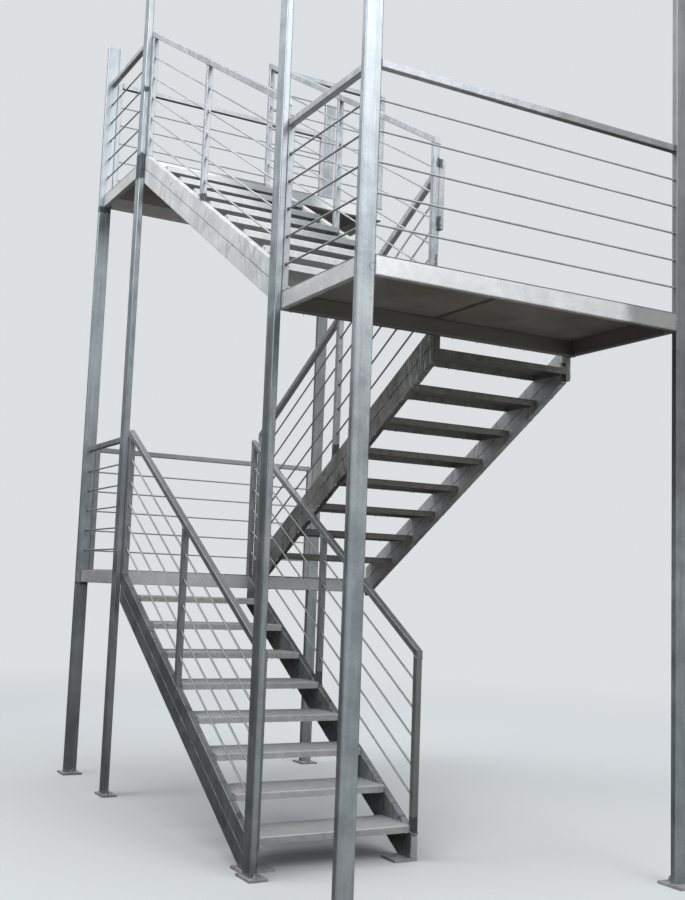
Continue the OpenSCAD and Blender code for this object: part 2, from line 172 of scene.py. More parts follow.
def makeEdgeShine():
    tree, given, result = newGroup("edgeShine", {"Normal": "Vector"}, {"Mask": "Float", "Line": "Float"})
    size = add(tree, "VectorMath", {0: given["Normal"]}, operation="ABSOLUTE").outputs[0]
    most = largestSide(tree, add(tree, "SeparateXYZ", {0: size}).outputs)
    tree.links.new(ramp(tree, most, *rounding["bright"]), result["Mask"])
    begin = ramp(tree, most, *rounding["lineStart"])
    begin = calc(tree, "MULTIPLY", begin, ramp(tree, most, *rounding["lineEnd"]))
    tree.links.new(begin, result["Line"])
    return tree


# The fine dark joint between two tubes: a line in the x-z plane with a given slope and height over x = 0
tubeJoint = {"width": (0.0065, 0.003), "scale": 60.0, "unevenness": 0.003}


def makeSeamLine():
    tree, given, result = newGroup(
        "seamLine", {"Vector": "Vector", "Slope": "Float", "Height": "Float"}, {"Mask": "Float"})
    place = add(tree, "SeparateXYZ", {0: given["Vector"]}).outputs
    above = calc(tree, "SUBTRACT", place[2], calc(tree, "MULTIPLY", place[0], given["Slope"]))
    away = calc(tree, "ABSOLUTE", calc(tree, "SUBTRACT", above, given["Height"]))
    ragged = noise(tree, given["Vector"], tubeJoint["scale"], 2.0)
    away = calc(tree, "ADD", away, calc(tree, "MULTIPLY", ragged, tubeJoint["unevenness"]))
    tree.links.new(ramp(tree, away, *tubeJoint["width"]), result["Mask"])
    return tree


zincSkin = makeZincSkin()
seamLine = makeSeamLine()
paintAndShadePatch = makePaintAndShadePatch()
edgeShine = makeEdgeShine()
print("node groups made")


def newMaterial(name):
    material = bpy.data.materials.new(name)
    material.use_nodes = True
    material.node_tree.nodes.clear()
    return material, material.node_tree


def finishMaterial(tree, feeds):
    shader = add(tree, "BsdfPrincipled", feeds)
    add(tree, "OutputMaterial", {"Surface": shader.outputs[0]})


# Paint over the site welds, painted shade in boxes, and the stains, painted light and painted shade that
# every finish gets
zincPaint = {"color": (0.1, 0.11, 0.12, 1), "rough": 0.6, "cover": 0.88, "soft": 0.006}
paintedShadeZinc = (0.17, 0.16, 0.145, 1)
shadedZinc = (0.17, 0.2, 0.205, 1)
wearAndPaintedLight = {"edgeLine": 0.45, "shadeTone": 0.55, "shadeBelow": 3.6, "ground": 0.4, "seamCover": 0.85,
        "upward": (0.05, 0.75), "downward": (-0.1, -0.9), "stain": (0.3, 0.2, 0.14, 1), "stainScale": 1.7,
        "stainRange": (0.48, 0.66), "bump": 0.2, "bumpDepth": 0.002, "metal": 0.55}
brush = {"color": (0.75, 0.75, 0.75, 1), "soft": 0.05, "stretch": (75, 9, 7), "range": (0.52, 0.62)}


def gray(value, blue=0.0):
    return (value - blue, value, value + blue, 1)


def darker(color, share):
    return tuple(share * channel for channel in color[:3]) + (1,)


def blend(tree, color, other, mask, amount):
    return mixColor(tree, calc(tree, "MULTIPLY", mask, amount), color, other)


def patchMask(tree, vector, centre, halfSize, soft):
    feeds = {"Vector": vector, "Centre": centre, "Half Size": halfSize, "Soft": soft}
    return add(tree, "Group", feeds, node_tree=paintAndShadePatch).outputs["Mask"]


# look: dark and light zinc, cloud size, strength of crystals, runs, lines and pits, stretch and turn of the
# runs; and where the finish has them a painted edge highlight, painted shade low down, painted light on tops
# with painted shade on undersides, stain, boxes of painted shade and brush strokes
def zincMaterial(name, look, patches=(), seam=None):
    material, tree = newMaterial(name)
    vector = add(tree, "TexCoord").outputs["Object"]
    normal = add(tree, "NewGeometry").outputs["Normal"]
    skin = add(tree, "Group", {
        "Vector": vector, "Runs Vector": stretch(tree, vector, look["stretch"], look.get("turn", 0.0)),
        "Dark": look["dark"], "Light": look["light"], "Cloud Scale": look["clouds"],
        "Crystals": look["crystals"], "Runs": look["runs"], "Lines": look.get("lines", 0.0),
        "Pits": look["pits"]}, node_tree=zincSkin).outputs
    color = skin["Color"]
    rough = calc(tree, "ADD", skin["Roughness"], look.get("rough", 0.0))
    # Painted highlight on the rounded edges, and a fine painted dark line where the rounding begins
    if look.get("shine"):
        edge = add(tree, "Group", {"Normal": normal}, node_tree=edgeShine).outputs
        color = blend(tree, color, darker(look["dark"], wearAndPaintedLight["edgeLine"]), edge["Line"], look["shine"])
        color = blend(tree, color, look["light"], edge["Mask"], look["shine"])
    # Painted shade: darker low down
    shadeTone = darker(look["dark"], wearAndPaintedLight["shadeTone"])
    height = add(tree, "SeparateXYZ", {0: vector}).outputs[2]
    low = ramp(tree, height, look.get("shadeBelow", wearAndPaintedLight["shadeBelow"]), 0.0)
    color = blend(tree, color, shadeTone, low, look.get("ground", wearAndPaintedLight["ground"]))
    if seam:
        feeds = {"Vector": vector, "Slope": seam[0], "Height": seam[1]}
        dark = add(tree, "Group", feeds, node_tree=seamLine).outputs["Mask"]
        color = blend(tree, color, zincPaint["color"], dark, wearAndPaintedLight["seamCover"])
    # Painted light on faces turned up, painted shade on faces turned down
    if look.get("topLightUnderShade"):
        facing = add(tree, "SeparateXYZ", {0: normal}).outputs[2]
        color = blend(tree, color, look["light"], ramp(tree, facing, *wearAndPaintedLight["upward"]), look["topLightUnderShade"])
        color = blend(tree, color, shadeTone, ramp(tree, facing, *wearAndPaintedLight["downward"]), look["topLightUnderShade"])
    if look.get("stain"):
        clouds = noise(tree, vector, wearAndPaintedLight["stainScale"], 3.0)
        color = blend(tree, color, wearAndPaintedLight["stain"], ramp(tree, clouds, *wearAndPaintedLight["stainRange"]), look["stain"])
    # Painted shade in boxes; one box gives a lighter tone instead
    for centre, halfSize, soft, cover, *tone in look.get("shadeAndToneBoxes", ()):
        shadeAndToneMask = patchMask(tree, vector, centre, halfSize, soft)
        color = blend(tree, color, tone[0] if tone else paintedShadeZinc, shadeAndToneMask, cover)
    for centre, halfSize in look.get("strokes", ()):
        place = patchMask(tree, vector, centre, halfSize, brush["soft"])
        marks = noise(tree, stretch(tree, vector, brush["stretch"], look["turn"]), 1.0, 2.0)
        color = blend(tree, color, brush["color"], place, ramp(tree, marks, *brush["range"]))
    mask = None
    for centre, halfSize in patches:
        spot = patchMask(tree, vector, centre, halfSize, zincPaint["soft"])
        mask = calc(tree, "MAXIMUM", mask, spot) if mask else spot
    if mask:
        mask = calc(tree, "MULTIPLY", mask, zincPaint["cover"])
        color = mixColor(tree, mask, color, zincPaint["color"])
        rough = add(tree, "Mix", {0: mask, 2: rough, 3: zincPaint["rough"]}).outputs[0]
    bump = add(tree, "Bump", {"Strength": look.get("bump", wearAndPaintedLight["bump"]), "Distance": wearAndPaintedLight["bumpDepth"],
                              "Height": skin["Height"]})
    finishMaterial(tree, {"Base Color": color, "Roughness": rough, "Normal": bump.outputs[0],
                          "Metallic": look.get("metal", wearAndPaintedLight["metal"])})
    return material


# Flights: the line of step edges, read from the treads
stairs = {"going": 0.3, "flange": 0.042, "steps": 8, "tread": 0.33, "bars": 5, "barDrop": 0.206,
          "barPitch": 0.165, "deckBarPitch": 0.162, "railHeight": 1.01, "stringerDrop": 0.03,
          "tubeHeight": 0.1, "side": 0.04, "columnWidth": 0.1, "beamHeight": 0.1, "deck": 0.004,
          "deckSeam": 0.003, "postInset": 0.0005}
sameBars = {"barDrop": stairs["barDrop"], "barPitch": stairs["barPitch"]}
flightRails = {"lower": {"railHeight": 1.02, **sameBars}, "upper": {"railHeight": 0.972, **sameBars},
               "middle": {"railHeight": 0.988, "barDrop": 0.185, "barPitch": 0.17}}


def readFlight(name, rising):
    low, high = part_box(name + "_flight_treads")
    first = low.z + stairs["flange"]
    return {"x": low.x if rising > 0 else high.x, "z": first, "way": rising, "low": low, "high": high,
            "rise": (high.z - first) / (stairs["steps"] - 1), **flightRails[name]}


def tilt(flight):
    return flight["way"] * flight["rise"] / stairs["going"]


def edgeHeight(flight, x):
    return flight["z"] + (x - flight["x"]) * tilt(flight)


# Height at x of the seam that lies a number of tubes below a stringer's top
def seamHeight(flight, x, tubes):
    lean = math.hypot(1, tilt(flight))
    return edgeHeight(flight, x) - stairs["stringerDrop"] - tubes * stairs["tubeHeight"] * lean


lowerFlight = readFlight("lower", -1)
middleFlight = readFlight("middle", 1)
upperFlight = readFlight("upper", -1)
flights = {"lower": lowerFlight, "middle": middleFlight, "upper": upperFlight}
slopeAngle = math.atan2(lowerFlight["rise"], stairs["going"])


# Main lines of the stair, read from its solids
side = stairs["side"]
half = side / 2
nearLow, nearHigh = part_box("near_outer_column")
farLow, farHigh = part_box("far_wall_column")
deckLow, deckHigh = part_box("platform_deck_outer")
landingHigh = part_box("upper_landing_deck")[1]
line = {"nearX": nearHigh.x, "farX": farLow.x, "platformX": deckLow.x, "landingX": landingHigh.x,
        "outerY": nearLow.y, "wallY": farHigh.y, "planeY": deckLow.y,
        "seamY": deckHigh.y + stairs["deckSeam"] / 2, "sideY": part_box("platform_deck_wall")[1].y,
        "betweenY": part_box("middle_flight_rail")[0].y + stairs["postInset"],
        "platformZ": deckHigh.z, "upperZ": landingHigh.z, "lowerZ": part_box("lower_landing_deck")[1].z}


# Looks of the finishes; each flight's treads and stringers have their own tone, painted light where they are
# lit and painted shade where they are in shade
# A box of painted shade has its centre, half size, softness, cover and, if it isn't the usual one, its color;
# the box at the lower stringer's foot is lighter
columnLook = {"dark": (0.36, 0.405, 0.43, 1), "light": (0.64, 0.68, 0.7, 1), "clouds": 7.0, "crystals": 0.14,
              "runs": 0.7, "lines": 0.3, "pits": 0.3, "stretch": (45, 45, 1.4), "metal": 0.9, "shine": 0.7,
              "ground": 0.3, "rough": -0.08,
              "shadeAndToneBoxes": (((1.29, -1.06, 1.9), (0.02, 0.2, 1.15), 0.05, 0.5),
                            ((-2.1, 1.06, 3.2), (0.3, 0.3, 1.2), 0.4, 0.55),
                            ((2.22, 1.06, 4.3), (0.3, 0.3, 2.0), 0.5, 0.65))}
# The beams' near-white zinc is painted light: the same zinc as the columns, made lighter
beamLook = {"dark": (0.83, 0.84, 0.835, 1), "light": (1.0, 1.0, 1.0, 1), "clouds": 12.0, "crystals": 0.22,
            "runs": 0.3, "lines": 0.2, "pits": 0.8, "stretch": (10, 10, 26), "metal": 0.8, "shine": 0.3,
            "shadeAndToneBoxes": (((1.7, 0.0, 3.11), (0.47, 1.042, 0.2), 0.012, 0.72),
                          ((1.31, 0.0, 3.11), (0.055, 1.042, 0.2), 0.012, 0.6),
                          ((-1.225, 0.0, 4.736), (0.06, 0.4, 0.1), 0.15, 0.75, shadedZinc),
                          ((2.27, 0.95, 3.15), (0.1, 0.3, 0.2), 0.08, 0.62))}
plateLook = {"dark": gray(0.34), "light": gray(0.6), "clouds": 16.0, "crystals": 0.12,
             "runs": 0.2, "pits": 0.5, "stretch": (14, 14, 14), "metal": 0.4, "ground": 0.1}
# The deck's dark brown zinc is painted shade of the deck's underside
deckLook = {"dark": (0.27, 0.25, 0.225, 1), "light": (0.45, 0.43, 0.4, 1), "clouds": 4.0, "crystals": 0.2,
            "runs": 0.2, "pits": 0.3, "stretch": (3, 10, 10), "metal": 0.4, "ground": 0.1, "stain": 0.4}
treadLitAndShadedTones = {"lower": {"dark": (0.48, 0.485, 0.475, 1), "light": (0.78, 0.785, 0.765, 1)},
              "middle": {"dark": (0.2, 0.19, 0.175, 1), "light": (0.38, 0.37, 0.35, 1)},
              "upper": {"dark": (0.66, 0.68, 0.685, 1), "light": (0.9, 0.915, 0.92, 1),
                        "shadeAndToneBoxes": (((-0.4, -0.1, 4.1), (0.9, 0.35, 0.7), 0.3, 0.6, shadedZinc),)}}
treadLook = {"clouds": 18.0, "crystals": 0.2, "runs": 0.35, "pits": 0.35, "stretch": (40, 6, 40),
             "bump": 0.35, "metal": 0.5, "topLightUnderShade": 0.25}
stringerLitAndShadedTones = {"lower": {"dark": (0.17, 0.185, 0.195, 1), "light": (0.38, 0.4, 0.41, 1), "ground": 0.1,
                           "shadeAndToneBoxes": (((1.28, -0.03, 0.077), (0.032, 0.03, 0.065), 0.003, 0.8,
                                          (0.75, 0.77, 0.78, 1)),
                                         ((0.03, -1.08, 0.8), (1.5, 0.03, 1.0), 0.012, 0.3,
                                          (0.08, 0.09, 0.09, 1)))},
                 "middle": {"dark": (0.2, 0.195, 0.185, 1), "light": (0.46, 0.455, 0.44, 1),
                            "strokes": (((1.12, -0.01, 3.0), (0.15, 0.03, 0.17)),)},
                 "wall": {"dark": (0.6, 0.615, 0.62, 1), "light": (1.0, 1.0, 1.0, 1), "metal": 0.5},
                 "upper": {"dark": (0.7, 0.715, 0.725, 1), "light": (1.0, 1.0, 1.0, 1), "metal": 0.4}}
stringerLook = {"clouds": 5.5, "crystals": 0.18, "runs": 0.35, "lines": 1.1, "pits": 0.3,
                "stretch": (24, 5, 9), "metal": 0.7, "ground": 0.35}
railLook = {"dark": (0.46, 0.485, 0.505, 1), "light": (0.76, 0.785, 0.8, 1), "clouds": 15.0, "crystals": 0.2,
            "runs": 0.25, "pits": 0.3, "stretch": (8, 8, 8), "metal": 0.88, "ground": 0.9, "topLightUnderShade": 0.4,
            "shadeBelow": 5.2, "shadeAndToneBoxes": (((2.255, 0.62, 4.2), (0.06, 0.5, 0.06), 0.15, 0.6),
                                            ((0.3, -0.55, 1.2), (1.2, 0.6, 1.0), 0.2, 0.25))}

# Dark patches in the colour of cold zinc paint, centre and half size of each: on the rails paint brushed over
# site welds, on the columns dark marks at the landing beams
columnPatches = (((-2.255, -1.06, 4.66), (0.03, 0.06, 0.024)), ((-2.255, -1.06, 1.514), (0.03, 0.06, 0.009)),
                 ((-1.212, -1.1, 5.34), (0.02, 0.03, 0.02)), ((-1.255, -1.06, 4.72), (0.1, 0.1, 0.1)))
railPatches = (((1.24, -0.03, 0.195), (0.03, 0.03, 0.055)), ((0.0, -0.03, 0.94), (0.03, 0.03, 0.045)),
               ((0.0475, 0.01, 2.5), (0.03, 0.03, 0.045)), ((0.0, -1.05, 4.125), (0.03, 0.03, 0.028)),
               ((-2.255, -0.99, 4.825), (0.03, 0.03, 0.035)), ((-1.285, -1.05, 4.825), (0.03, 0.03, 0.035)),
               ((1.3, -0.008, 4.19), (0.014, 0.02, 0.028)), ((1.3, -0.01, 3.8), (0.014, 0.014, 0.045)),
               ((1.3, -0.01, 3.57), (0.014, 0.014, 0.035)), ((2.255, 1.0, 4.19), (0.03, 0.012, 0.03)))

columnZinc = zincMaterial("columnZinc", columnLook, columnPatches)
beamZinc = zincMaterial("beamZinc", beamLook)
plateZinc = zincMaterial("plateZinc", plateLook)
deckZinc = zincMaterial("deckZinc", deckLook)
treadZinc, stringerZinc = {}, {}
for name, flight in flights.items():
    treadZinc[name] = zincMaterial(name + "TreadZinc", {**treadLook, **treadLitAndShadedTones[name]})
    seam = tilt(flight), seamHeight(flight, 0, 1)
    for key in (name, "wall") if name == "middle" else (name,):
        look = {**stringerLook, **stringerLitAndShadedTones[key], "turn": flight["way"] * slopeAngle}
        stringerZinc[key] = zincMaterial(key + "StringerZinc", look, seam=seam)
railZinc = zincMaterial("railZinc", railLook, railPatches)

for name, node in parts.items():
    if name.endswith("column") or name == "column_caps":
        finish = columnZinc
    elif name.endswith("plates"):
        finish = plateZinc
    elif "beams" in name or "hangers" in name:
        finish = beamZinc
    elif "deck" in name:
        finish = deckZinc
    elif "treads" in name:
        finish = treadZinc[name.split("_")[0]]
    elif "stringer" in name:
        finish = stringerZinc["wall" if "wall" in name else name.split("_")[0]]
    else:
        finish = railZinc
    node.data.materials.clear()
    node.data.materials.append(finish)
print("finishes set")


# Small pieces are stamped: one template mesh, placed many times in one joined piece
sharpAngle = math.radians(38)


def meshOf(name, build):
    shape = bmesh.new()
    build(shape)
    bmesh.ops.recalc_face_normals(shape, faces=shape.faces)
    mesh = bpy.data.meshes.new(name)
    shape.to_mesh(mesh)
    shape.free()
    return mesh


def joinedPiece(name, stamps, material):
    whole = bmesh.new()
    for template, place in stamps:
        copy = template.copy()
        copy.transform(place)
        whole.from_mesh(copy)
        bpy.data.meshes.remove(copy)
    mesh = bpy.data.meshes.new(name)
    whole.to_mesh(mesh)
    whole.free()
    mesh.shade_smooth()
    mesh.set_sharp_from_angle(angle=sharpAngle)
    mesh.materials.append(material)
    piece = bpy.data.objects.new(name, mesh)
    scene.collection.objects.link(piece)
    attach(piece, "root")


def chamfer(shape, edges, offset, segments):
    bmesh.ops.bevel(shape, geom=list(edges), offset=offset, offset_type="OFFSET", affect="EDGES",
                    segments=segments, profile=0.5, material=-1)


def buildBox(shape, size, bevel, segments):
    bmesh.ops.create_cube(shape, size=1, matrix=Matrix.Diagonal((*size, 1)))
    chamfer(shape, shape.edges, bevel, segments)


# Raises a face into a new ring of a given radius, and gives the face on top of it
def growRing(shape, face, step, radius):
    grown = bmesh.ops.extrude_face_region(shape, geom=[face])["geom"]
    ring = [item for item in grown if isinstance(item, bmesh.types.BMVert)]
    bmesh.ops.translate(shape, vec=(0, 0, step), verts=ring)
    for vert in ring:
        reach = radius / math.hypot(vert.co.x, vert.co.y)
        vert.co.x *= reach
        vert.co.y *= reach
    return [item for item in grown if isinstance(item, bmesh.types.BMFace)][0]


# Weld beads: a rippled stick of weld along +z with a radius of 1, and the real radius in each place
bead = {"length": 0.1, "ripples": 9, "sides": 6, "unevenness": 0.16, "tip": 0.55}
weldRadius = {"beam": 0.0045, "column": 0.005, "tread": 0.0035, "rail": 0.0035, "levelPost": 0.0038}


def buildBead(shape):
    draw = random.Random(5)
    bmesh.ops.create_circle(shape, cap_ends=True, radius=1, segments=bead["sides"])
    face = shape.faces[:][0]
    step = bead["length"] / bead["ripples"]
    for _ in range(bead["ripples"] - 1):
        face = growRing(shape, face, step, 1 + bead["unevenness"] * draw.uniform(-1, 1))
    growRing(shape, face, step, bead["tip"])


beadStick = meshOf("beadStick", buildBead)


def beadStamps(start, end, radius):
    along = Vector(end) - Vector(start)
    count = max(1, round(along.length / bead["length"]))
    turn = along.to_track_quat("Z", "X").to_matrix().to_4x4()
    size = Matrix.Diagonal((radius, radius, along.length / count / bead["length"], 1))
    return [(beadStick, Matrix.Translation(Vector(start) + along * k / count) @ turn @ size)
            for k in range(count)]


def loopStamps(corners, radius):
    stamps = []
    for k in range(4):
        stamps += beadStamps(corners[k], corners[(k + 1) % 4], radius)
    return stamps


# Beads round a box's four edges in the plane across one axis, at that axis's low or high end
def ringStamps(low, high, flat, radius, atHigh=False):
    a, b = [axis for axis in range(3) if axis != flat]
    corners = []
    for u, v in ((low[a], low[b]), (high[a], low[b]), (high[a], high[b]), (low[a], high[b])):
        corner = Vector((0, 0, 0))
        corner[flat], corner[a], corner[b] = (high if atHigh else low)[flat], u, v
        corners.append(corner)
    return loopStamps(corners, radius)


def bothEndStamps(low, high, flat, radius):
    return ringStamps(low, high, flat, radius) + ringStamps(low, high, flat, radius, atHigh=True)


weldLook = {"dark": gray(0.22, 0.01), "light": gray(0.46, 0.01), "clouds": 60.0, "crystals": 0.2,
            "runs": 0.2, "pits": 0.6, "stretch": (40, 40, 40), "bump": 0.8}
paintLook = {"dark": (0.09, 0.095, 0.1, 1), "light": (0.24, 0.25, 0.26, 1), "clouds": 70.0, "crystals": 0.1,
             "runs": 0.1, "pits": 0.3, "stretch": (40, 40, 40), "bump": 0.6, "metal": 0.3}
weldZinc = zincMaterial("weldZinc", weldLook)
weldPaint = zincMaterial("weldPaint", paintLook)
print("weld templates made")

# Welds of the columns on their plates
columns = ("near_outer", "near_wall", "near_middle", "far_outer", "far_wall", "far_middle")
stamps = []
for name in columns:
    low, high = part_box(name + "_column")
    stamps += ringStamps(low, high, 2, weldRadius["column"])
joinedPiece("column_foot_welds", stamps, weldZinc)

# Welds of the beams: cross beams between the corner columns, side beams and the inner cross beams
stamps = []
cornerY = line["outerY"] + stairs["columnWidth"], line["wallY"] - stairs["columnWidth"]
for level, crossX, innerX in ((line["platformZ"], line["nearX"] - side, line["platformX"]),
                              (line["lowerZ"], line["farX"], line["landingX"] - side),
                              (line["upperZ"], line["farX"], line["landingX"] - side)):
    top = level - stairs["deck"]
    foot = top - stairs["beamHeight"]
    low, high = Vector((crossX, cornerY[0], foot)), Vector((crossX + side, cornerY[1], top))
    stamps += bothEndStamps(low, high, 1, weldRadius["beam"])
    ends = sorted((crossX, innerX))
    for y in (line["planeY"], line["sideY"] - side):
        low, high = Vector((ends[0] + side, y, foot)), Vector((ends[1], y + side, top))
        stamps += bothEndStamps(low, high, 0, weldRadius["beam"])
joinedPiece("beam_end_welds", stamps, weldZinc)

# Welds of the treads: both ends of every tread, along its sheet and down its front edge, on the stringers
treadWeld = {"along": (0.02, 0.31), "under": 0.006, "down": (0.038, 0.01)}
for name, flight in flights.items():
    stamps = []
    for k in range(stairs["steps"]):
        x = flight["x"] + flight["way"] * k * stairs["going"]
        z = flight["z"] + k * flight["rise"]
        start, end = [x + flight["way"] * reach for reach in treadWeld["along"]]
        foot, top = [z - drop for drop in treadWeld["down"]]
        for y in (flight["low"].y, flight["high"].y):
            stamps += beadStamps((start, y, z - treadWeld["under"]), (end, y, z - treadWeld["under"]),
                                 weldRadius["tread"])
            stamps += beadStamps((x, y, foot), (x, y, top), weldRadius["tread"])
    joinedPiece(name + "_tread_welds", stamps, weldZinc)

# Plates that close the open ends of the folded treads
endPlate = {"thickness": 0.003, "inset": 0.003, "foot": 0.0395, "bevel": 0.0008, "gap": 0.0002}


def buildEndPlate(shape):
    length = stairs["tread"] - 2 * endPlate["inset"]
    size = (length, endPlate["thickness"], endPlate["foot"] - endPlate["inset"])
    buildBox(shape, size, endPlate["bevel"], 1)


endPlateMesh = meshOf("endPlate", buildEndPlate)
inside = endPlate["thickness"] / 2 + endPlate["gap"]
for name, flight in flights.items():
    stamps = []
    for k in range(stairs["steps"]):
        x = flight["x"] + flight["way"] * (k * stairs["going"] + stairs["tread"] / 2)
        z = flight["z"] + k * flight["rise"] - (endPlate["inset"] + endPlate["foot"]) / 2
        for y in (flight["low"].y + inside, flight["high"].y - inside):
            stamps.append((endPlateMesh, Matrix.Translation((x, y, z))))
    joinedPiece(name + "_tread_ends", stamps, treadZinc[name])


# Stitch welds in the groove between the two tubes of each stringer, on both its faces
stitch = {"length": 0.055, "spacing": 0.3, "radius": 0.0042, "inset": 0.0025, "first": 0.12, "last": 0.05,
          "foot": 0.06}
stringers = {"lower_flight_outer": lowerFlight, "lower_flight_inner": lowerFlight,
             "middle_flight_inner": middleFlight, "middle_flight_wall": middleFlight,
             "upper_flight_outer": upperFlight, "upper_flight_inner": upperFlight}
stamps = []
for name, flight in stringers.items():
    low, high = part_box(name + "_stringer")
    x = low.x + stitch["first"]
    while x + stitch["length"] < high.x - stitch["last"]:
        for y in (low.y + stitch["inset"], high.y - stitch["inset"]):
            ends = [(place, y, seamHeight(flight, place, 1)) for place in (x, x + stitch["length"])]
            if min(ends[0][2], ends[1][2]) > low.z + stitch["foot"]:
                stamps += beadStamps(*ends, stitch["radius"])
        x += stitch["spacing"]
joinedPiece("stringer_stitch_welds", stamps, weldZinc)


# Weld blobs where the infill bars meet posts and columns
blob = {"around": 8, "rings": 5, "size": (0.0045, 0.0105, 0.0105), "unevenness": 0.16}


def buildBlob(shape):
    draw = random.Random(9)
    bmesh.ops.create_uvsphere(shape, u_segments=blob["around"], v_segments=blob["rings"], radius=1)
    for vert in shape.verts:
        vert.co *= 1 + blob["unevenness"] * draw.uniform(-1, 1)


barBlob = meshOf("barBlob", buildBlob)


def blobStamp(place, size, axis=0):
    turn = Matrix.Rotation(math.pi / 2, 4, "Z") if axis == 1 else Matrix.Identity(4)
    return (barBlob, Matrix.Translation(place) @ turn @ Matrix.Diagonal((*size, 1)))


# Rail of each flight: x of the faces where its bars end, x of its posts' low sides
topX = line["landingX"]
endX = line["platformX"] - side
middleX = (line["landingX"] + line["platformX"]) / 2 - half
footX = {"outer": 1.24, "newel": 1.22}
rails = {
    "lower_flight_outer_rail": (lowerFlight, (topX + side, -half, half, footX["outer"]),
                                (topX, -half, footX["outer"])),
    "lower_flight_inner_rail": (lowerFlight, (topX, -half, half, footX["newel"]), (-half, footX["newel"])),
    "middle_flight_rail": (middleFlight, (topX + side, middleX, middleX + side, endX), (topX, middleX)),
    "upper_flight_outer_rail": (upperFlight, (topX + side, -half, half, footX["outer"]),
                                (topX, -half, footX["outer"])),
    "upper_flight_inner_rail": (upperFlight, (topX, -half, half, endX), (-half, endX)),
}
footStamps = []
for node, (flight, faces, posts) in rails.items():
    low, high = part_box(node)
    y = (low.y + high.y) / 2
    stamps = []
    for x in faces:
        for k in range(stairs["bars"]):
            z = edgeHeight(flight, x) + flight["railHeight"] - flight["barDrop"] - k * flight["barPitch"]
            stamps.append(blobStamp((x, y, z), blob["size"]))
    joinedPiece(node.replace("_rail", "_bar_welds"), stamps, weldPaint)
    handrail = flight["railHeight"] - side * math.hypot(1, tilt(flight))
    for x in posts:
        ends = (x, x + side)
        feet = [seamHeight(flight, place, 0) for place in ends]
        heads = [edgeHeight(flight, place) + handrail for place in ends]
        for heights in (feet, heads):
            footStamps += loopStamps([(x, y - half, heights[0]), (x + side, y - half, heights[1]),
                                      (x + side, y + half, heights[1]), (x, y + half, heights[0])],
                                     weldRadius["rail"])

# Level rails: height, the axis they run along, their line, the ends of the bars, and their posts
outer = line["planeY"] + half
far = line["farX"]
near = line["nearX"]
landingPost = line["landingX"] - stairs["columnWidth"]
farEnds = (cornerY[0] + side, cornerY[1] - side)
farPosts = ((far, cornerY[0]), (far, cornerY[1] - side))
levelRails = (
    ("platform", line["platformZ"], 1, near - half, cornerY, ()),
    ("platform", line["platformZ"], 0, outer, (line["platformX"] + side, near - side),
     ((line["platformX"], outer - half),)),
    ("lower_landing", line["lowerZ"], 0, outer, (far + side, landingPost), ((landingPost, outer - half),)),
    ("lower_landing", line["lowerZ"], 1, far + half, farEnds, farPosts),
    ("upper_landing", line["upperZ"], 0, outer, (far + side, landingPost), ((landingPost, outer - half),)),
    ("upper_landing", line["upperZ"], 1, far + half, farEnds, farPosts),
    ("upper_landing", line["upperZ"], 1, line["landingX"] - half, (line["betweenY"], line["sideY"] - side),
     ((line["landingX"] - side, line["sideY"] - side),)),
)
levelStamps = {"platform": [], "lower_landing": [], "upper_landing": []}
for name, level, axis, across, ends, posts in levelRails:
    top = level + stairs["railHeight"]
    for end in ends:
        for k in range(stairs["bars"]):
            place = [across, across, top - stairs["barDrop"] - k * stairs["deckBarPitch"]]
            place[axis] = end
            levelStamps[name].append(blobStamp(place, blob["size"], axis))
        low, high = Vector((across - half,) * 3), Vector((across + half,) * 3)
        low[axis] = high[axis] = end
        low.z, high.z = top - side, top
        footStamps += ringStamps(low, high, axis, weldRadius["rail"])
    for x, y in posts:
        low, high = Vector((x, y, level)), Vector((x + side, y + side, level))
        footStamps += ringStamps(low, high, 2, weldRadius["levelPost"])
for name, stamps in levelStamps.items():
    joinedPiece(name + "_bar_welds", stamps, weldPaint)
joinedPiece("post_and_handrail_welds", footStamps, weldZinc)
print("welds made")


# Zinc drops that froze along lower edges
drip = {"perTread": 10, "perBeam": 14, "radius": (0.0014, 0.003), "length": (0.003, 0.008),
        "treadEdge": 0.002, "treadEnd": 0.02, "beamEdge": 0.003}
draw = random.Random(21)


def dripStamps(start, end, count):
    stamps = []
    for _ in range(count):
        place = Vector(start).lerp(Vector(end), draw.random())
        radius = draw.uniform(*drip["radius"])
        size = Matrix.Diagonal((radius, radius, draw.uniform(*drip["length"]), 1))
        stamps.append((barBlob, Matrix.Translation(place) @ size))
    return stamps


for name, flight in flights.items():
    stamps = []
    ends = flight["low"].y + drip["treadEnd"], flight["high"].y - drip["treadEnd"]
    for k in range(stairs["steps"]):
        z = flight["z"] + k * flight["rise"] - stairs["flange"]
        for inset in (drip["treadEdge"], stairs["tread"] - drip["treadEdge"]):
            x = flight["x"] + flight["way"] * (k * stairs["going"] + inset)
            stamps += dripStamps((x, ends[0], z), (x, ends[1], z), drip["perTread"])
    joinedPiece(name + "_tread_drips", stamps, treadZinc[name])

